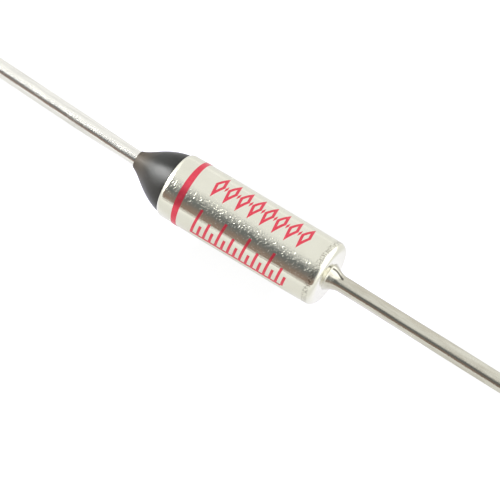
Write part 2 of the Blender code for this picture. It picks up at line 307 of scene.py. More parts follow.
east, north, height = tent.parts(tent.made("ShaderNodeTexCoord", name="Generated"))
climb = height.math("ARCTAN2", height, 0 - north)
sideways = east - PATCH_TURN
patch_top = PATCH_HIGH + sideways.at_most(0.0) * PATCH_HIGH_SLOPES[0]
patch_top = patch_top + sideways.at_least(0.0) * PATCH_HIGH_SLOPES[1]
bump = ramp(tent, east, *PATCH_BUMP_START) * (1 - ramp(tent, east, *PATCH_BUMP_END))
patch_top = patch_top + bump * PATCH_BUMP
patch = edge(tent, climb, PATCH_LOW, PATCH_LOW_BLUR)
patch = patch * (1 - edge(tent, climb - patch_top, 0.0, PATCH_HIGH_BLUR))
patch = patch * edge(tent, east, PATCH_LEFT, PATCH_LEFT_BLUR)
patch = patch * (1 - edge(tent, east, PATCH_RIGHT, PATCH_RIGHT_BLUR))
patch_tone = mixed(tent, ramp(tent, climb, *PATCH_TONE_CHANGE), PATCH_TABLE_TONE, PATCH_ROOM_TONE)
print(f"tent at {TENT_LIGHT}, dim patch from {PATCH_LOW / DEGREE:.1f} degrees up")

# %% [markdown]
# Two softboxes glow through the tent, one beyond each end of the fuse. The first stands upright:
# its near edge is hard, and cuts the sheen on the resin off along a line from tip to rim. Its
# spill whitens the rolled rim. The second whitens the rounded edge of the closed end. Each is a
# box of directions, by the turn away from the fuse's own axis and by the height over the floor.
# A tent is sewn from sheets, and one faint seam at the back draws a grey line in that white edge.
# Like the dim patch, they only show in what is glossy: dull surfaces are lit by the even tent.

# %% World: two softboxes, and the whole tent
RESIN_GLOW, RIM_GLOW, END_GLOW = 19.0, 0.4, 0.8
SEAM_PLACE, SEAM_HALF, SEAM_SHADE = 0.06, (0.04, 0.14), 0.45

rise = height.math("ARCSINE", height)
past_open_end = north.math("ARCTAN2", north, 0 - east)
past_closed_end = north.math("ARCTAN2", north, east)


def box_between(turn, front, back, low, high):
    """A share that is 1 inside a box of directions. Each side is where it starts and ends."""
    front, back, low, high = ([a * DEGREE for a in side] for side in (front, back, low, high))
    across = ramp(tent, turn, *front) * (1 - ramp(tent, turn, *back))
    return across * ramp(tent, rise, *low) * (1 - ramp(tent, rise, *high))


resin_box = box_between(past_open_end, (-44, 2), (10, 19), (-20, 50), (46, 60))
rim_box = box_between(past_open_end, (-56, -44), (42, 54), (-12, 2), (54, 62))
end_box = box_between(past_closed_end, (-30, -10), (88, 100), (-20, -8), (60, 76))
path = tent.add("ShaderNodeLightPath")
mirrored = tent.out(path, "Is Glossy Ray")
boxes = resin_box * RESIN_GLOW + rim_box * RIM_GLOW + end_box * END_GLOW
seam = (1 - ramp(tent, (east - SEAM_PLACE).size(), *SEAM_HALF)) * ramp(tent, north, 0.0, 0.2)
tent_level = (TENT_LIGHT + boxes * mirrored) * (1 - seam * mirrored * SEAM_SHADE)
tent_colour = mixed(tent, patch * mirrored, tent.grey(tent_level), patch_tone)
backdrop = tent.made("ShaderNodeBackground", None, {"Color": (1.0, 1.0, 1.0, 1.0), "Strength": 1.0})
tent_walls = tent.made("ShaderNodeBackground", None, {"Color": tent_colour, "Strength": 1.0})
seen = tent.out(path, "Is Camera Ray")
tent_shader = tent.made("ShaderNodeMixShader", None, {0: seen, 1: tent_walls, 2: backdrop})
tent.add("ShaderNodeOutputWorld", None, {"Surface": tent_shader})
bpy.context.scene.view_settings.view_transform = "Standard"
print("two softboxes and a seam in the tent")

# %% [markdown]
# The floor is a sheet of white paper. It has to read as pure white to the camera and in the
# metal, and still take the fuse's faint shadow. So a share of what those rays see is plain
# white, more of it for the lens, and the rest is the lit paper with its shadow. Light is also
# painted into that plain white: a brighter, cooler pool on the paper beyond each end of the
# case, and brighter paper far from the fuse.

# %% Floor
FLOOR_HALF = 1.2
PAPER_WHITE = 0.9
PLAIN_TO_LENS, PLAIN_TO_METAL = 0.85, 0.50
LENS_GLOW, METAL_GLOW = 1.06, 0.95
POOL_PLACE, POOL_REACH = (7.5 * MM, 0.0, 0.0), (1.5 * MM, 5.5 * MM)
POOL_GLOW, POOL_COOL = 0.5, 0.22
FAR_GLOW, FAR_REACH = 0.30, (10 * MM, 45 * MM)
FIBRE_SCALE, FIBRE_CONTRAST = 900.0, 0.02

floor_mesh = bpy.data.meshes.new("floor")
corners = [(-FLOOR_HALF, -FLOOR_HALF, 0), (FLOOR_HALF, -FLOOR_HALF, 0)]
corners += [(FLOOR_HALF, FLOOR_HALF, 0), (-FLOOR_HALF, FLOOR_HALF, 0)]
floor_mesh.from_pydata(corners, [], [(0, 1, 2, 3)])
floor = shown("floor", floor_mesh)

floor_material = bpy.data.materials.new("white_paper")
floor_material.use_nodes = True
paper = Recipe(floor_material.node_tree)
spot = paper.made("ShaderNodeTexCoord", name="Object")
fibres = paper.made("ShaderNodeTexNoise", None, {"Vector": spot, "Scale": FIBRE_SCALE, "Detail": 3.0})
paper_colour = paper.grey(PAPER_WHITE + (fibres - 0.5) * FIBRE_CONTRAST)
lit = paper.made("ShaderNodeBsdfDiffuse", None, {"Color": paper_colour})
path = paper.add("ShaderNodeLightPath")
to_lens, to_metal = paper.out(path, "Is Camera Ray"), paper.out(path, "Is Glossy Ray")
# Painted light: a brighter, cooler pool on the paper beyond each end of the case, and brighter paper far from
# the fuse.
either_end = paper.made("ShaderNodeVectorMath", {"operation": "ABSOLUTE"}, {0: spot}, "Vector")
from_pool = paper.made(
    "ShaderNodeVectorMath", {"operation": "DISTANCE"}, {0: either_end, 1: POOL_PLACE}, "Value"
)
pool = 1 - ramp(paper, from_pool, *POOL_REACH)
from_fuse = paper.made("ShaderNodeVectorMath", {"operation": "LENGTH"}, {0: spot}, "Value")
glow = METAL_GLOW + pool * POOL_GLOW + to_lens * (LENS_GLOW - METAL_GLOW)
glow = glow + ramp(paper, from_fuse, *FAR_REACH) * FAR_GLOW
plain_colour = paper.made("ShaderNodeCombineColor", None, {0: glow, 1: glow, 2: glow + pool * POOL_COOL})
plain = paper.made("ShaderNodeEmission", None, {"Color": plain_colour, "Strength": 1.0})
plain_share = to_lens * PLAIN_TO_LENS + to_metal * PLAIN_TO_METAL
paper_shader = paper.made("ShaderNodeMixShader", None, {0: plain_share, 1: lit, 2: plain})
paper.add("ShaderNodeOutputMaterial", None, {"Surface": paper_shader})
floor_mesh.materials.append(floor_material)
floor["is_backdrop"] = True
print("white paper floor")

# %% [markdown]
# Every finish below starts the same way: a Principled shader whose base colour, roughness and
# normal come from small textures in the piece's own coordinates. This helper makes the common
# parts, so that each finish only says what is special about it.

# %% A finish and its common textures


class Finish(Recipe):
    """A material in the making, with the textures that the fuse's finishes share."""

    def __init__(self, name, **constants):
        self.material = bpy.data.materials.new(name)
        self.material.use_nodes = True
        super().__init__(self.material.node_tree)
        self.shader = self.add("ShaderNodeBsdfPrincipled", None, constants)
        self.add("ShaderNodeOutputMaterial", None, {"Surface": self.out(self.shader)})
        self.place = self.made("ShaderNodeTexCoord", name="Object")

    def stretched(self, along, across):
        """Coordinates for a pattern drawn out along X: cells per metre along it and across it."""
        return self.made("ShaderNodeMapping", None, {"Vector": self.place, "Scale": (along, across, across)})

    def noise(self, cell, detail=2.0, vector=None, roughness=0.5):
        """Cloudy noise from 0 to 1, its blotches about one cell wide, in metres."""
        sockets = {"Vector": vector or self.place, "Scale": 1 / cell}
        sockets.update({"Detail": detail, "Roughness": roughness})
        return self.made("ShaderNodeTexNoise", None, sockets)

    def blend(self, share, first, second):
        """A colour between two, by a share from 0 to 1."""
        first, second = (c if isinstance(c, Signal) else (*c, 1.0) for c in (first, second))
        return mixed(self, share, first, second)

    def relief(self, height, depth):
        """A bump whose full height is depth, in metres."""
        return self.made("ShaderNodeBump", None, {"Height": height, "Distance": depth})

    def use(self, **signals):
        """Plug signals into the shader: colour, roughness, metallic or normal."""
        names = {"colour": "Base Color", "roughness": "Roughness", "metallic": "Metallic", "normal": "Normal"}
        for key, signal in signals.items():
            feed(self.tree, self.shader.inputs[names[key]], signal)
        return self.material


print("finishes can be mixed")

# %% [markdown]
# The can is drawn brass, plated bright. Seen close, drawing leaves faint lines along its length,
# and the plating has a fine orange peel. Along one side a carrier rubbed the plating into grit,
# with small pits that sparkle in the dark stripe there. All of this is far too fine for geometry,
# so it is bump. A few soft blotches change the tone and the roughness, and where the can starts
# to round over at its closed end, a band of small dark specks darkens its colour.

# %% Plated case finish
RUBBED_SIDE, RUBBED_HALF, RUBBED_BLUR = -1.03 * MM, 0.46 * MM, 0.22 * MM
SPECK_BAND_PLACE, SPECK_BAND_HALF, SPECK_BAND_BLUR = CASE_END - 0.48 * MM, 0.15 * MM, 0.08 * MM

can = Finish("plated_case", Metallic=1.0)
can_x, can_y, _ = can.parts(can.place)
rubbed = 1 - edge(can, (can_y - RUBBED_SIDE).size(), RUBBED_HALF, RUBBED_BLUR)
speck_band = 1 - edge(can, (can_x - SPECK_BAND_PLACE).size(), SPECK_BAND_HALF, SPECK_BAND_BLUR)
peel = can.noise(0.12 * MM, 2.0)
pits = ramp(can, can.noise(0.12 * MM, 1.0), 0.53, 0.67)
blotch = can.noise(1.3 * MM, 3.0)
draw_lines = can.noise(MM, 3.0, can.stretched(0.25, 16.0))
can_height = peel * (0.06 + rubbed * 0.12) - pits * rubbed * 0.10 + draw_lines * 0.08
# A band of small dark specks where the can starts to round over at its closed end.
end_specks = speck_band * ramp(can, can.noise(0.10 * MM, 2.0), 0.46, 0.58)
plating = can.blend(blotch, (0.88, 0.87, 0.76), (0.80, 0.79, 0.67))
PLATED_CASE = can.use(
    colour=can.blend(end_specks * 0.6, plating, (0.30, 0.28, 0.22)),
    roughness=0.10 + blotch * 0.10,
    normal=can.relief(can_height, 0.05 * MM),
)
print("plated case finish")

# %% [markdown]
# The wires are tinned copper. The die that drew them leaves lines along them, and the tin has
# dull patches where fingers and air have been. The wire at the closed end is a little darker than
# the other. One function makes both, from their two tones. Over the back of the darker one's
# shoulder a dark reflection is painted into its colour: a sum of its place gives that line's share.

# %% Tinned wire finishes


def tinned_wire(name, bright, dull, roughness, reflected_line=None):
    """Tinned copper with drawing lines along it, dull patches and perhaps a painted dark reflection line."""
    tin = Finish(name, Metallic=1.0)
    patches = tin.noise(MM, 4.0, tin.stretched(0.35, 2.2), 0.6)
    lines = tin.noise(MM, 2.0, tin.stretched(0.12, 11.0))
    pits = tin.noise(0.09 * MM, 3.0)
    patch_share = ramp(tin, patches, 0.40, 0.68)
    colour = tin.blend(patch_share, bright, dull)
    if reflected_line:
        # Painted reflection: a dark line blended into the colour.
        colour = tin.blend(reflected_line(tin) * 0.95, colour, (0.10, 0.095, 0.08))
    return tin.use(
        colour=colour,
        roughness=roughness + patch_share * 0.10,
        normal=tin.relief(lines * 0.5 + pits * 0.5, 0.010 * MM),
    )


# Place and shape of the dark reflection painted on the shoulder of the wire at the closed end.
REFLECTION_ARC_ROUND, REFLECTION_ARC_WAVE, REFLECTION_ARC_SWING = 16 * DEGREE, 7 * DEGREE, 3 * DEGREE
REFLECTION_ARC_START, REFLECTION_ARC_LENGTH, REFLECTION_ARC_HALF = CASE_END + 0.08 * MM, 0.85 * MM, (0.04 * MM, 0.10 * MM)
REFLECTION_ARC_WAVES = 0.75


def painted_reflection_arc(tin):
    """A painted dark reflection: a short dark wavy line over the back of the shoulder."""
    x, y, z = tin.parts(tin.place)
    z = z - AXIS_Z
    reach = y.math("SQRT", y * y + z * z)
    share = (x - REFLECTION_ARC_START) / REFLECTION_ARC_LENGTH
    line = REFLECTION_ARC_ROUND + (share * (REFLECTION_ARC_WAVES * math.tau)).sine() * REFLECTION_ARC_WAVE - share * REFLECTION_ARC_SWING
    off = (y.math("ARCTAN2", y, z) - line) * reach
    ends = ramp(tin, share, -0.08, 0.02) * (1 - ramp(tin, share, 0.85, 1.0))
    return (1 - ramp(tin, off.size(), *REFLECTION_ARC_HALF)) * ends


TINNED_ISOLATED_WIRE = tinned_wire("tinned_isolated_wire", (0.93, 0.92, 0.86), (0.82, 0.81, 0.75), 0.14)
TINNED_CASE_WIRE = tinned_wire(
    "tinned_case_wire", (0.69, 0.675, 0.58), (0.57, 0.54, 0.45), 0.16, painted_reflection_arc
)
print("tinned wire finishes")

# %% [markdown]
# The resin is a dark epoxy that was dripped on and cured, so it is smooth but not quite even: it
# keeps a slow waviness and a faint haze. It is deepest in tone where it lies thick. Its front,
# lower side is paler with painted light, most of all towards the tip, and its thin tip lets a
# little brown through.

# %% Dark resin finish
SEAL_START, SEAL_END = span("resin_seal")
THIN_LENGTH, PAINTED_LIGHT_LENGTH = 1.5 * MM, 0.8 * MM
PAINTED_LIGHT_ANGLES = (26 * DEGREE, 52 * DEGREE)
PAINTED_LIGHT_RESIN, TIP_BROWN = (0.088, 0.083, 0.076), (0.112, 0.088, 0.062)
resin = Finish("dark_resin", IOR=1.37)
resin_x, resin_y, resin_z = resin.parts(resin.place)
thin_end = 1 - ramp(resin, resin_x, SEAL_START, SEAL_START + THIN_LENGTH)
round_angle = resin_y.math("ARCTAN2", 0 - resin_y, resin_z - AXIS_Z)
# Painted light: the front, lower side of the resin is paler, most of all towards the tip.
front = ramp(resin, round_angle, *PAINTED_LIGHT_ANGLES)
front = front * (1 - 0.5 * ramp(resin, resin_x, SEAL_START + PAINTED_LIGHT_LENGTH, CASE_START))
haze = resin.noise(0.5 * MM, 3.0)
wave = resin.noise(0.9 * MM, 1.0)
grain = resin.noise(0.06 * MM, 2.0)
deep = resin.blend(haze, (0.012, 0.013, 0.011), (0.021, 0.022, 0.019))
DARK_RESIN = resin.use(
    colour=resin.blend(thin_end * 0.8, resin.blend(front * 0.8, deep, PAINTED_LIGHT_RESIN), TIP_BROWN),
    roughness=0.285 + haze * 0.04 + thin_end * 0.20,
    normal=resin.relief(wave * 0.9 + grain * 0.1, 0.03 * MM),
)
print("dark resin finish")

# %% [markdown]
# The ring and the marks are one glossy red ink. It is thin, so the metal under it still gives it
# some shine, and it lies a little unevenly.

# %% Red ink finish
ink = Finish("red_ink", IOR=1.5)
ink_body = ink.noise(0.25 * MM, 3.0)
RED_INK = ink.use(
    colour=ink.blend(ink_body, (0.88, 0.092, 0.142), (0.74, 0.052, 0.086)),
    metallic=0.50 + ink_body * 0.2,
    roughness=0.17 + ink_body * 0.09,
    normal=ink.relief(ink.noise(0.12 * MM), 0.004 * MM),
)
print("red ink finish")

# %% [markdown]
# What lies inside the can is never seen in a portrait, but it is on the bench when one is cut
# open. The bushing is fired ceramic, the pellet is pressed organic powder, and the contact, the
# discs and the springs are metals that differ in tone and in the direction of their lines.

# %% Finishes of the inside pieces


def pressed(name, light, dark, roughness, grain_size, depth):
    """A pressed or fired powder: pale, speckled and slightly grainy."""
    powder = Finish(name)
    speckle = powder.noise(grain_size, 3.0)
    cloud = powder.noise(grain_size * 9, 2.0)
    return powder.use(
        colour=powder.blend(speckle * 0.5 + cloud * 0.5, light, dark),
        roughness=roughness + cloud * 0.1,
        normal=powder.relief(speckle, depth),
    )


def worked_metal(name, bright, dull, roughness, along, across):
    """A rolled, stamped or drawn metal, with the lines that the work left."""
    metal = Finish(name, Metallic=1.0)
    lines = metal.noise(MM, 2.0, metal.stretched(along, across))
    stain = metal.noise(0.7 * MM, 3.0)
    return metal.use(
        colour=metal.blend(stain, bright, dull),
        roughness=roughness + lines * 0.12,
        normal=metal.relief(lines, 0.006 * MM),
    )


WHITE_CERAMIC = pressed("white_ceramic", (0.88, 0.86, 0.82), (0.80, 0.78, 0.73), 0.42, 0.06 * MM, 0.008 * MM)
ORGANIC_PELLET = pressed("organic_pellet", (0.83, 0.77, 0.61), (0.74, 0.67, 0.50), 0.62, 0.10 * MM, 0.02 * MM)
SILVERED_CONTACT = worked_metal("silvered_contact", (0.90, 0.89, 0.86), (0.82, 0.81, 0.77), 0.14, 3.0, 14.0)
DISC_STEEL = worked_metal("disc_steel", (0.66, 0.66, 0.64), (0.56, 0.56, 0.54), 0.28, 9.0, 9.0)
MAIN_SPRING_STEEL = worked_metal("main_spring_steel", (0.60, 0.60, 0.59), (0.50, 0.50, 0.49), 0.24, 12.0, 5.0)
TRIP_SPRING_STEEL = worked_metal("trip_spring_steel", (0.66, 0.66, 0.64), (0.56, 0.56, 0.54), 0.22, 20.0, 8.0)
print("inside finishes")

# %% [markdown]
# Almost every piece is turned: an outline spun about the axis. A spin in mesh code works, but
# here the same rule serves nine pieces, and three of them follow a wire that is slightly bent. So
# the rule is one Geometry Nodes tree, a lathe. It takes an outline drawn as points (x, radius),
# lays a grid with one row for each point, and moves every grid point to its place on the round.
# The bend is part of the same sum: past its start, each section shifts aside and down.

# %% The lathe tree
BEND_LENGTH = 0.6 * MM
MERGE_DISTANCE = 0.0001 * MM


def geometry_recipe(name, inputs):
    """A new geometry tree as a recipe, and its named inputs as signals."""
    recipe = Recipe(bpy.data.node_groups.new(name, "GeometryNodeTree"))
    sockets = recipe.tree.interface
    for label, kind in inputs.items():
        sockets.new_socket(label, in_out="INPUT", socket_type="NodeSocket" + kind)
    sockets.new_socket("Geometry", in_out="OUTPUT", socket_type="NodeSocketGeometry")
    entry = recipe.add("NodeGroupInput")
    return recipe, {label: recipe.out(entry, label) for label in inputs}


def merged(recipe, mesh):
    """The mesh with points that meet made one."""
    sockets = {"Geometry": mesh, "Distance": MERGE_DISTANCE}
    return recipe.made("GeometryNodeMergeByDistance", None, sockets)


def hand_out(recipe, mesh, finish):
    """End a geometry tree: real geometry, then its finish, then the tree's output."""
    mesh = recipe.made("GeometryNodeRealizeInstances", None, {"Geometry": mesh})
    mesh = recipe.made("GeometryNodeSetMaterial", None, {"Geometry": mesh, "Material": finish})
    recipe.add("NodeGroupOutput", None, {"Geometry": mesh})
    print(recipe.tree.name, "tree with", len(recipe.tree.nodes), "nodes")


lathe, given = geometry_recipe("lathe", {
    "Outline": "Geometry", "Steps": "Int", "Axis Height": "Float", "Bend Start": "Float",
    "Bend Way": "Float", "Slope Aside": "Float", "Slope Down": "Float", "Finish": "Material",
})
outline, steps = given["Outline"], given["Steps"]
rows = lathe.made("GeometryNodeAttributeDomainSize", None, {"Geometry": outline}, "Point Count")
columns = steps + 1
grid = lathe.made("GeometryNodeMeshGrid", None, {"Vertices X": rows, "Vertices Y": columns}, "Mesh")
number = lathe.made("GeometryNodeInputIndex")
row = ((number + 0.5) / columns).whole()
column = number - row * columns
station = lathe.made(
    "GeometryNodeSampleIndex",
    {"data_type": "FLOAT_VECTOR"},
    {"Geometry": outline, "Value": lathe.made("GeometryNodeInputPosition"), "Index": row},
    "Value",
)
along, _, radius = lathe.parts(station)
turn = column * math.tau / steps
past = ((along - given["Bend Start"]) * given["Bend Way"]).at_least(0.0)
early = past.at_most(BEND_LENGTH)
run = early * early / (2 * BEND_LENGTH) + (past - BEND_LENGTH).at_least(0.0)
aside = radius * turn.sine() + run * given["Slope Aside"]
height = radius * turn.cosine() - run * given["Slope Down"] + given["Axis Height"]
spot = lathe.made("ShaderNodeCombineXYZ", None, {0: along, 1: aside, 2: height})
round_mesh = lathe.made("GeometryNodeSetPosition", None, {"Geometry": grid, "Position": spot})
hand_out(lathe, merged(lathe, round_mesh), given["Finish"])

# %% [markdown]
# A tree only works on an object, so each piece goes through the same bench: make an object that
# holds the outline, put the tree on it as a modifier, set the inputs, and keep the result as a
# plain mesh. The inputs are set by identifier before anything is evaluated, because the names on
# a group's sockets are only labels.

# %% From a tree to a plain piece
SMOOTH_LIMIT = 32 * DEGREE


def grow(name, start_mesh, recipe, values):
    """Run a geometry tree on a starting mesh and keep what it makes as a plain object."""
    tree = recipe.tree
    seed = shown(name + "_seed", start_mesh)
    modifier = seed.modifiers.new(tree.name, "NODES")
    modifier.node_group = tree
    for item in tree.interface.items_tree:
        if item.in_out == "INPUT" and item.name in values:
            modifier[item.identifier] = values[item.name]
    graph = bpy.context.evaluated_depsgraph_get()
    mesh = bpy.data.meshes.new_from_object(seed.evaluated_get(graph), depsgraph=graph)
    bpy.data.objects.remove(seed)
    mesh.name = name
    face_out(mesh)
    piece = shown(name, mesh)
    print(f"{name}: {len(mesh.vertices)} points, {len(mesh.polygons)} faces")
    return piece


def face_out(mesh):
    """Turn every face outwards, smooth the round faces and keep the real edges sharp."""
    shape = bmesh.new()
    shape.from_mesh(mesh)
    bmesh.ops.recalc_face_normals(shape, faces=shape.faces)
    if shape.calc_volume(signed=True) < 0:
        bmesh.ops.reverse_faces(shape, faces=shape.faces)
    shape.to_mesh(mesh)
    shape.free()
    mesh.shade_smooth()
    mesh.set_sharp_from_angle(angle=SMOOTH_LIMIT)


def drawn(name, points):
    """A mesh that is only an outline: its points (x, radius) in order."""
    mesh = bpy.data.meshes.new(name)
    edges = [(i, i + 1) for i in range(len(points) - 1)]
    mesh.from_pydata([(x, 0.0, r) for x, r in points], edges, [])
    return mesh


def turned(name, points, finish, steps, bend=None):
    """A piece from the lathe. A bend is its start, its way along X, and its two slopes."""
    start, way, slope_aside, slope_down = bend or (0.0, 0.0, 0.0, 0.0)
    return grow(name, drawn(name, points), lathe, {
        "Steps": steps, "Axis Height": AXIS_Z, "Bend Start": start, "Bend Way": way,
        "Slope Aside": slope_aside, "Slope Down": slope_down, "Finish": finish,
    })


print("bench ready")

# %% [markdown]
# Outlines are drawn with three strokes: a straight run, an arc, and a cubic curve pulled towards
# two points. A long straight run is split into short ones, for two reasons: a bent wire needs
# points to bend at, and smooth shading goes wrong where a long face meets a tiny one.

# %% Outline strokes


def arc(centre, radius, start, end, steps=12):
    """Points of an arc, its angles measured from +x towards a larger radius."""
    turns = [start + (end - start) * i / steps for i in range(steps + 1)]
    return [(centre[0] + radius * math.cos(a), centre[1] + radius * math.sin(a)) for a in turns]


def pulled(start, start_pull, end_pull, end, steps=20):
    """Points of a cubic curve."""
    points = []
    for i in range(steps + 1):
        t = i / steps
        shares = ((1 - t) ** 3, 3 * t * (1 - t) ** 2, 3 * t * t * (1 - t), t**3)
        corners = (start, start_pull, end_pull, end)
        points.append(tuple(sum(s * c[k] for s, c in zip(shares, corners)) for k in (0, 1)))
    return points


def split(points, longest):
    """The same outline with no run longer than this."""
    result = [points[0]]
    for (x0, r0), (x1, r1) in zip(points, points[1:]):
        pieces = max(1, math.ceil(math.hypot(x1 - x0, r1 - r0) / longest))
        result += [(x0 + (x1 - x0) * i / pieces, r0 + (r1 - r0) * i / pieces) for i in range(1, pieces + 1)]
    return result


print("strokes ready")

# %% [markdown]
# The case is a drawn cup. Its closed end has a rounded edge, and its open rim is rolled inwards
# over the bushing. The outline goes once round the section: outside, end face, rivet hole,
# inside, and back along the lip.

# %% Case
LIP_INSIDE = 0.13 * MM
LIP_OUTSIDE = LIP_INSIDE + CASE_WALL
LIP_REACH = 0.25 * MM
LIP_HOLE_RADIUS = CASE_RADIUS - LIP_OUTSIDE - LIP_REACH
END_INSIDE = 0.2 * MM
END_WALL = 0.4 * MM
RIVET_RADIUS = 0.8 * MM
RIVET_DEPTH = 0.22 * MM
WIRE_BORE = LEAD_RADIUS + SEAT_GAP
QUARTER = math.pi / 2
CASE_STEPS = 192
CASE_RUN = 0.12 * MM


def case_outline():
    """Section of the cup, closed on itself."""
    lip = (CASE_START + LIP_OUTSIDE, CASE_RADIUS - LIP_OUTSIDE)
    corner = END_INSIDE + CASE_WALL
    floor_x = CASE_END - END_WALL
    section = [(CASE_START, LIP_HOLE_RADIUS)]
    section += arc(lip, LIP_OUTSIDE, 2 * QUARTER, QUARTER)
    section += arc((CASE_END - corner, CASE_RADIUS - corner), corner, QUARTER, 0)
    section += [(CASE_END, WIRE_BORE), (floor_x + RIVET_DEPTH, WIRE_BORE)]
    section += [(floor_x, RIVET_RADIUS + SEAT_GAP)]
    section += arc((floor_x - END_INSIDE, BORE_RADIUS - END_INSIDE), END_INSIDE, 0, QUARTER, 6)
    section += arc(lip, LIP_INSIDE, QUARTER, 2 * QUARTER, 6)
    section += [(CASE_START + CASE_WALL, LIP_HOLE_RADIUS), section[0]]
    return split(section, CASE_RUN)


case_piece = turned("drawn_case", case_outline(), PLATED_CASE, CASE_STEPS)

# %% [markdown]
# Each wire is a turned piece too. The insulated one ends inside in a forged head that the
# contact presses on. The live one has a tapered shoulder outside and a flat rivet inside. Soft
# wires are never quite straight, so each takes one slight bend where it leaves the body.

# %% Wires
WIRE_STEPS = 64
WIRE_RUN = 0.4 * MM
CUT_BEVEL = 0.05 * MM
HEAD_RADIUS = 0.85 * MM
HEAD_THICKNESS = 0.35 * MM
HEAD_EDGE = 0.08 * MM
SHOULDER_START = CASE_END + 0.002 * MM
SHOULDER_RADIUS = 0.85 * MM
SHOULDER_LENGTH = 0.85 * MM
SHOULDER_FOOT = 0.06 * MM
SHOULDER_SLOPE = math.tan(25 * DEGREE)
SHOULDER_BLEND = 0.30 * MM
CASE_WIRE_SLOPE = -math.tan(0.1 * DEGREE)
BUSHING_START = span("bushing")[0]


def reach_past_bend(start, tip):
    """How far a wire runs straight, once it has turned its bend."""
    return abs(tip - start) - BEND_LENGTH / 2


def wire_bend(start, tip, slope_aside):
    """The bend that brings a wire's tip down to the floor, with this slope aside."""
    slope_down = (AXIS_Z - LEAD_RADIUS) / reach_past_bend(start, tip)
    return start, math.copysign(1.0, tip - start), slope_aside, slope_down


isolated_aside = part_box("isolated_lead")[1].y - LEAD_RADIUS
isolated_slope = isolated_aside / reach_past_bend(BUSHING_START, WIRE_START)
ISOLATED_BEND = wire_bend(BUSHING_START, WIRE_START, isolated_slope)
CASE_BEND = wire_bend(SHOULDER_START + SHOULDER_LENGTH, WIRE_END, CASE_WIRE_SLOPE)


def isolated_outline():
    """Cut end, shank, and the forged head."""
    face_x = span("isolated_lead")[1]
    head_x = face_x - HEAD_THICKNESS
    edge_radius = HEAD_RADIUS - HEAD_EDGE
    section = [(WIRE_START, 0.0), (WIRE_START, LEAD_RADIUS - CUT_BEVEL)]
    section += arc((WIRE_START + CUT_BEVEL, LEAD_RADIUS - CUT_BEVEL), CUT_BEVEL, 2 * QUARTER, QUARTER, 4)
    section += [(head_x, LEAD_RADIUS), (head_x, edge_radius)]
    section += arc((head_x + HEAD_EDGE, edge_radius), HEAD_EDGE, 2 * QUARTER, QUARTER, 4)
    section += arc((face_x - HEAD_EDGE, edge_radius), HEAD_EDGE, QUARTER, 0, 4)
    return split(section + [(face_x, 0.0)], WIRE_RUN)


def case_wire_outline():
    """Rivet inside the closed end, shoulder outside it, and the straight wire to its cut end."""
    inner_x = CASE_END - END_WALL
    foot_x, foot_radius = SHOULDER_START + SHOULDER_FOOT, SHOULDER_RADIUS - SHOULDER_FOOT
    wire_x = SHOULDER_START + SHOULDER_LENGTH
    section = [(inner_x, 0.0), (inner_x, RIVET_RADIUS), (inner_x + RIVET_DEPTH, LEAD_RADIUS)]
    section += [(SHOULDER_START, LEAD_RADIUS), (SHOULDER_START, SHOULDER_RADIUS)]
    section += pulled(
        (foot_x, foot_radius),
        (foot_x + SHOULDER_BLEND, foot_radius - SHOULDER_BLEND * SHOULDER_SLOPE),
        (wire_x - SHOULDER_BLEND, LEAD_RADIUS),
        (wire_x, LEAD_RADIUS),
    )
    section += arc((WIRE_END - CUT_BEVEL, LEAD_RADIUS - CUT_BEVEL), CUT_BEVEL, QUARTER, 0, 4)
    return split(section + [(WIRE_END, 0.0)], WIRE_RUN)


isolated_piece = turned("isolated_wire", isolated_outline(), TINNED_ISOLATED_WIRE, WIRE_STEPS, ISOLATED_BEND)
case_wire_piece = turned("case_wire", case_wire_outline(), TINNED_CASE_WIRE, WIRE_STEPS, CASE_BEND)

# %% [markdown]
# The resin starts part way up the rolled rim and is drawn out along the wire to a thin tip, as a
# drop of syrup would be. Its outline is one cubic curve. It follows the bent wire, so it goes
# through the lathe with the same bend.

# %% Resin seal
SEAL_STEPS = 144
SEAL_RUN = 0.1 * MM
SEAL_LIP_COVER = 36 * DEGREE
SEAL_TIP_WALL = 0.02 * MM
SEAL_TIP_PULL, SEAL_TIP_ANGLE = 0.29, 20 * DEGREE
SEAL_BASE_PULL, SEAL_BASE_ANGLE = 0.53, 12 * DEGREE


def seal_outline():
    """Cone, seat on the rolled lip, plug inside the lip's hole, and bore round the wire."""
    length = CASE_START - SEAL_START
    plug = LIP_HOLE_RADIUS - SEAT_GAP
    lip = (CASE_START + LIP_OUTSIDE, CASE_RADIUS - LIP_OUTSIDE)
    seat = arc(lip, LIP_OUTSIDE + SEAT_GAP, math.pi - SEAL_LIP_COVER, math.pi)
    tip, edge = (SEAL_START, WIRE_BORE + SEAL_TIP_WALL), seat[0]
    from_tip = (
        tip[0] + length * SEAL_TIP_PULL * math.cos(SEAL_TIP_ANGLE),
        tip[1] + length * SEAL_TIP_PULL * math.sin(SEAL_TIP_ANGLE),
    )
    to_edge = (
        edge[0] - length * SEAL_BASE_PULL * math.cos(SEAL_BASE_ANGLE),
        edge[1] - length * SEAL_BASE_PULL * math.sin(SEAL_BASE_ANGLE),
    )
    section = pulled(tip, from_tip, to_edge, edge, 48) + seat[1:]
    section += [(CASE_START - SEAT_GAP, plug), (SEAL_END, plug)]
    section += [(SEAL_END, WIRE_BORE), (SEAL_START, WIRE_BORE)]
    return split(section + [section[0]], SEAL_RUN)


seal_piece = turned("resin_cone", seal_outline(), DARK_RESIN, SEAL_STEPS, ISOLATED_BEND)

# %% [markdown]
# Inside the can: the stepped bushing, the two discs and the pellet are plain turned pieces, with
# their edges softly rounded as pressing and stamping leave them.

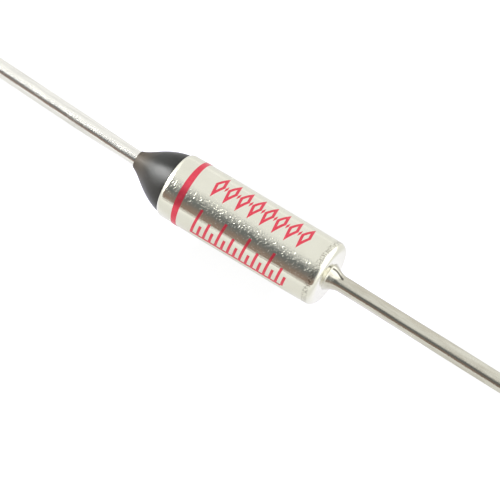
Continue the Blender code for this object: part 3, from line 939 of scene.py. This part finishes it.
# %% Bushing, discs and pellet
INSIDE_STEPS, INSIDE_RUN, EDGE_STEPS = 96, 0.2 * MM, 6
NOSE_STEP, NOSE_LENGTH, LIP_ROOM = 0.8 * MM, 0.8 * MM, 0.07 * MM
BUSHING_EDGE, DISC_EDGE, PELLET_EDGE = 0.04 * MM, 0.05 * MM, 0.1 * MM


def rounded_section(corners, edge):
    """An outline through these corners, with each outward corner off the axis rounded."""
    section = []
    for i, (x, r) in enumerate(corners):
        if r <= WIRE_BORE:
            section.append((x, r))
            continue
        before, after = corners[i - 1], corners[(i + 1) % len(corners)]
        back = Vector((before[0] - x, before[1] - r)).normalized() * edge
        ahead = Vector((after[0] - x, after[1] - r)).normalized() * edge
        for k in range(EDGE_STEPS + 1):
            t = k / EDGE_STEPS
            shift = back * (1 - t) ** 2 + ahead * t * t
            section.append((x + shift.x, r + shift.y))
    return section


def bushing_outline():
    """The bushing's body, chamfered where the lip turns in, and its nose."""
    start, end = span("bushing")
    outer = radius_of("bushing")
    nose, step_x = BORE_RADIUS - NOSE_STEP, end - NOSE_LENGTH
    chamfer = LIP_INSIDE + LIP_ROOM
    corners = [(start, WIRE_BORE), (start, outer - chamfer), (start + chamfer, outer)]
    corners += [(step_x, outer), (step_x, nose), (end, nose), (end, WIRE_BORE)]
    section = rounded_section(corners, BUSHING_EDGE)
    return split(section + [section[0]], INSIDE_RUN)


def disc_outline(node, edge):
    """A solid disc between the ends of its node."""
    (start, end), rim = span(node), radius_of(node)
    corners = [(start, 0.0), (start, rim), (end, rim), (end, 0.0)]
    return split(rounded_section(corners, edge), INSIDE_RUN)


bushing_piece = turned("ceramic_bushing", bushing_outline(), WHITE_CERAMIC, INSIDE_STEPS)
contact_disc_piece = turned("spring_disc", disc_outline("contact_disc", DISC_EDGE), DISC_STEEL, INSIDE_STEPS)
pellet_disc_piece = turned("pellet_plate", disc_outline("pellet_disc", DISC_EDGE), DISC_STEEL, INSIDE_STEPS)
pellet_piece = turned("organic_plug", disc_outline("pellet", PELLET_EDGE), ORGANIC_PELLET, INSIDE_STEPS)

# %% [markdown]
# The sliding contact is a thin stamped disc. Its rim is slotted into eight fingers that lean
# outwards and brush the bore. The lathe makes the sheet's middle surface, mesh code takes out the
# slots, and a Solidify modifier gives it the sheet's thickness, as a press would leave it.

# %% Sliding contact
SHEET = 0.12 * MM
FINGERS = 8
FINGER_STEPS = 24
SLOT_STEPS = 4
FINGER_LEAN = 20 * DEGREE
FINGER_BEND = 0.2 * MM
CONTACT_FLAT, CONTACT_RUN = 1.30 * MM, 0.12 * MM


def contact_outline():
    """Middle line of the sheet, from the centre out to a fingertip."""
    middle_x = span("star_contact")[1] - SHEET / 2
    bend = arc((middle_x - FINGER_BEND, CONTACT_FLAT), FINGER_BEND, 0, QUARTER - FINGER_LEAN)
    end_x, end_r = bend[-1]
    tip_r = BORE_RADIUS - SEAT_GAP - SHEET / 2
    tip_x = end_x - (tip_r - end_r) / math.tan(FINGER_LEAN)
    return split([(middle_x, 0.0)] + bend + [(tip_x, tip_r)], CONTACT_RUN)


contact_piece = turned("finger_contact", contact_outline(), SILVERED_CONTACT, FINGERS * FINGER_STEPS)
sheet = bmesh.new()
sheet.from_mesh(contact_piece.data)
pitch = math.tau / FINGERS
slots = []
for face in sheet.faces:
    middle = face.calc_center_median()
    share = math.atan2(middle.y, middle.z - AXIS_Z) % pitch / pitch
    if math.hypot(middle.y, middle.z - AXIS_Z) > CONTACT_FLAT and share < SLOT_STEPS / FINGER_STEPS:
        slots.append(face)
bmesh.ops.delete(sheet, geom=slots, context="FACES")
sheet.to_mesh(contact_piece.data)
sheet.free()
thickness = contact_piece.modifiers.new("sheet", "SOLIDIFY")
thickness.thickness = SHEET
thickness.offset = 0.0
thickness.use_even_offset = True
print(f"contact: {len(slots)} faces taken out for {FINGERS} slots")

# %% [markdown]
# Both springs are one wire wound on a rule: close turns at the ends, an even pitch between, and a
# radius that swells for the barrel or tapers for the cone. That is a second tree: a line of
# points, each lifted to its place on the helix by its number, then swept with a round section.

# %% The winding tree
COIL_GAP = 0.03 * MM
COIL_STEPS = 48
COIL_SIDES = 20

winding, given = geometry_recipe("winding", {
    "Start X": "Float", "Length": "Float", "Turns": "Float", "Wire": "Float", "Radius": "Float",
    "Swell": "Float", "Taper": "Float", "Axis Height": "Float", "Finish": "Material",
})
turns, wire = given["Turns"], given["Wire"]
count = (turns * COIL_STEPS + 0.5).whole() + 1
line = winding.made("GeometryNodeMeshLine", None, {"Count": count})
share = winding.made("GeometryNodeInputIndex") / (count - 1)
turn = share * turns
close = wire + COIL_GAP
open_pitch = (given["Length"] - wire - close * 2) / (turns - 2)
climb = turn.at_most(1.0) * close + (turn - 1).at_least(0.0).at_most(turns - 2) * open_pitch
climb = climb + (turn - turns + 1).at_least(0.0) * close + wire / 2 + given["Start X"]
reach = given["Radius"] + given["Swell"] * (share * math.pi).sine() - given["Taper"] * share
angle = turn * math.tau
spot = winding.made("ShaderNodeCombineXYZ", None, {
    0: climb,
    1: reach * angle.sine(),
    2: reach * angle.cosine() + given["Axis Height"],
})
line = winding.made("GeometryNodeSetPosition", None, {"Geometry": line, "Position": spot})
rail = winding.made("GeometryNodeMeshToCurve", None, {"Mesh": line})
section = winding.made(
    "GeometryNodeCurvePrimitiveCircle", None, {"Resolution": COIL_SIDES, "Radius": wire / 2}
)
swept = winding.made(
    "GeometryNodeCurveToMesh", None, {"Curve": rail, "Profile Curve": section, "Fill Caps": True}
)
hand_out(winding, swept, given["Finish"])


def spring(name, node, finish, turns, wire, radius, swell=0.0, taper=0.0):
    """A coil spring that fills its node from end to end."""
    start, end = span(node)
    return grow(name, bpy.data.meshes.new(name), winding, {
        "Start X": start, "Length": end - start, "Turns": turns, "Wire": wire, "Radius": radius,
        "Swell": swell, "Taper": taper, "Axis Height": AXIS_Z, "Finish": finish,
    })


main_piece = spring(
    "barrel_spring", "main_spring", MAIN_SPRING_STEEL,
    turns=4.75, wire=0.4 * MM, radius=1.10 * MM, swell=0.25 * MM,
)
trip_piece = spring(
    "cone_spring", "trip_spring", TRIP_SPRING_STEEL,
    turns=3.0, wire=0.2 * MM, radius=1.35 * MM, taper=0.2 * MM,
)

# %% [markdown]
# The red print is a ring near the open end and a field of marks over the middle of the can. All
# of it is drawn flat first: x along the can, y round it as arc length. A third tree prints it: it
# splits the flat faces finely, lifts them into a thin film, and rolls the film round the can.

# %% The printing tree
INK_FILM = 0.010 * MM
INK_GAP = 0.0008 * MM

printing, given = geometry_recipe("printing", {
    "Marks": "Geometry", "Splits": "Int", "Roller Radius": "Float", "Film": "Float",
    "Axis Height": "Float", "Finish": "Material",
})
splitting = {"Mesh": merged(printing, given["Marks"]), "Level": given["Splits"]}
flat = printing.made("GeometryNodeSubdivideMesh", None, splitting)
upwards = printing.made("ShaderNodeCombineXYZ", None, {2: given["Film"]})
lifting = {"Mesh": flat, "Offset": upwards, "Individual": False}
lifted = printing.made("GeometryNodeExtrudeMesh", None, lifting, "Mesh")
under = printing.made("GeometryNodeFlipFaces", None, {"Mesh": flat})
join = printing.add("GeometryNodeJoinGeometry")
for part in (under, lifted):
    printing.tree.links.new(part.socket, join.inputs[0])
closed = merged(printing, printing.out(join))
flat_x, flat_y, flat_z = printing.parts(printing.made("GeometryNodeInputPosition"))
angle = flat_y / given["Roller Radius"]
lift = given["Roller Radius"] + flat_z
spot = printing.made("ShaderNodeCombineXYZ", None, {
    0: flat_x,
    1: lift * angle.sine(),
    2: lift * angle.cosine() + given["Axis Height"],
})
rolled = printing.made("GeometryNodeSetPosition", None, {"Geometry": closed, "Position": spot})
hand_out(printing, rolled, given["Finish"])

# %% [markdown]
# The marks fill two rows on the side that faces the lens, in strokes as wide as a pad printer
# leaves on so small a can. One row is a chain of open lozenges with a small solid one between
# each two. The other is a scale: ticks of three heights on a base line. Each mark is a few flat
# quads that a loop repeats, and the whole field leans a little.

# %% Ring and marks
PRINT_RADIUS = CASE_RADIUS + INK_GAP
RING_CENTRE, RING_WIDTH = CASE_START + 1.31 * MM, 0.36 * MM
RING_STEPS, RING_WANDER, RING_SWELL = 96, 0.02 * MM, 0.03 * MM
WANDER_TURN, SWELL_TURN = 0.6, 2.6
STROKE, BASE_STROKE = 0.17 * MM, 0.8
LOZENGE_WIDTH, SMALL_WIDTH, SMALL_HEIGHT = 0.37, 0.42, 0.26
CHAIN_MIDDLE, CHAIN_HEIGHT, CHAIN_PITCH = 0.53 * MM, 1.87 * MM, 0.83 * MM
SCALE_MIDDLE, SCALE_HEIGHT, SCALE_PITCH = -2.25 * MM, 1.95 * MM, 0.41 * MM
TICK_HEIGHTS = (1.0, 0.45, 0.7, 0.45)
MARKS_START, MARKS_END = -2.75 * MM, 3.45 * MM
LEAN = math.tan(8 * DEGREE)


def ring():
    """A strip right round the can, a little uneven in width and place as a wheel lays it down."""
    sides = []
    for i in range(RING_STEPS + 1):
        turn = math.tau * i / RING_STEPS
        middle = RING_CENTRE + RING_WANDER * math.sin(turn + WANDER_TURN)
        half = RING_WIDTH / 2 + RING_SWELL * math.sin(2 * turn + SWELL_TURN)
        y = PRINT_RADIUS * (turn - math.pi)
        sides.append(((middle - half, y), (middle + half, y)))
    return [[a[0], a[1], b[1], b[0]] for a, b in zip(sides, sides[1:])]


def bar(left, right, low, high):
    """An upright bar."""
    return [(left, low), (right, low), (right, high), (left, high)]


def lozenge(x, half_width, half_height):
    """The four points of a lozenge on the row's middle line."""
    return [(x - half_width, 0.0), (x, -half_height), (x + half_width, 0.0), (x, half_height)]


def chain():
    """Open lozenges with small solid ones between them, about their middle line."""
    shapes = []
    count = int((MARKS_END - MARKS_START) / CHAIN_PITCH) + 1
    tall, wide = CHAIN_HEIGHT / 2, CHAIN_PITCH * LOZENGE_WIDTH
    for i in range(count):
        x = MARKS_START + wide + i * CHAIN_PITCH
        outer = lozenge(x, wide, tall)
        inner = lozenge(x, wide - STROKE, tall * (1 - STROKE / wide))
        for k in range(4):
            after = (k + 1) % 4
            shapes.append([outer[k], outer[after], inner[after], inner[k]])
        if i < count - 1:
            shapes.append(lozenge(x + CHAIN_PITCH / 2, STROKE * SMALL_WIDTH, tall * SMALL_HEIGHT))
    return shapes


def scale():
    """Ticks of three heights on a base line, about their middle line."""
    low, high = -SCALE_HEIGHT / 2, SCALE_HEIGHT / 2
    line = low + STROKE * BASE_STROKE
    shapes = [bar(MARKS_START, MARKS_END, low, line)]
    for i in range(int((MARKS_END - MARKS_START) / SCALE_PITCH) + 1):
        x = MARKS_START + i * SCALE_PITCH
        tick_top = line + (high - line) * TICK_HEIGHTS[i % len(TICK_HEIGHTS)]
        shapes.append(bar(x, x + STROKE, line, tick_top))
    return shapes


def leaned(shapes, middle):
    """Shapes about a middle line, leaned and moved to their row."""
    return [[(x + LEAN * y, middle + y) for x, y in shape] for shape in shapes]


def printed(name, shapes, splits):
    """Flat polygons, printed on the can in red ink."""
    points, faces = [], []
    for shape in shapes:
        faces.append(tuple(range(len(points), len(points) + len(shape))))
        points += [(x, y, 0.0) for x, y in shape]
    flat_mesh = bpy.data.meshes.new(name)
    flat_mesh.from_pydata(points, [], faces)
    return grow(name, flat_mesh, printing, {
        "Splits": splits, "Roller Radius": PRINT_RADIUS, "Film": INK_FILM, "Axis Height": AXIS_Z,
        "Finish": RED_INK,
    })


ring_piece = printed("ink_ring", ring(), 1)
marks_piece = printed("ink_marks", leaned(chain(), CHAIN_MIDDLE) + leaned(scale(), SCALE_MIDDLE), 3)

# %% [markdown]
# Last, pieces are tied to what they move with. The case and all that is fixed to it are one
# body, the contact with its disc is a second and the plate a third. When the pellet melts, the
# plate and the contact slide into the space that it leaves, the springs stretch and the pellet
# flattens against the closed end. Here the springs are only left where they stand, tied to no
# body, and the pellet gets a mesh of its own on the case body.

# %% Tie the pieces to their bodies
fixed = {
    case_piece: "case", case_wire_piece: "case_lead", isolated_piece: "isolated_lead",
    seal_piece: "resin_seal", bushing_piece: "bushing",
}


def stand_for(node):
    """Hide a node, so that the piece made for it shows in its place."""
    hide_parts(node)


for piece, node in fixed.items():
    stand_for(node)
for piece in (*fixed, ring_piece, marks_piece):
    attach(piece, "case_body")
for piece, node, body in (
    (contact_piece, "star_contact", "contact"),
    (contact_disc_piece, "contact_disc", "contact"),
    (pellet_disc_piece, "pellet_disc", "plate"),
):
    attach(piece, body)
    stand_for(node)

stretches = (
    (trip_piece, "trip_spring", "case_body", "contact"),
    (main_piece, "main_spring", "contact", "plate"),
)
for piece, node, first, second in stretches:
    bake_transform(piece)
    stand_for(node)

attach(pellet_piece, "case_body")
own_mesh(pellet_piece)
stand_for("pellet")

# %% [markdown]
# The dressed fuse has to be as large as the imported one, so both boxes are written down to compare.

# %% Sizes, and the end
VISUAL_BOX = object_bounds()
boxes = {"cad": [list(v) for v in CAD_BOX], "visual": [list(v) for v in VISUAL_BOX]}
for name, (low, high) in boxes.items():
    print(name, [round(1000 * (b - a), 3) for a, b in zip(low, high)])
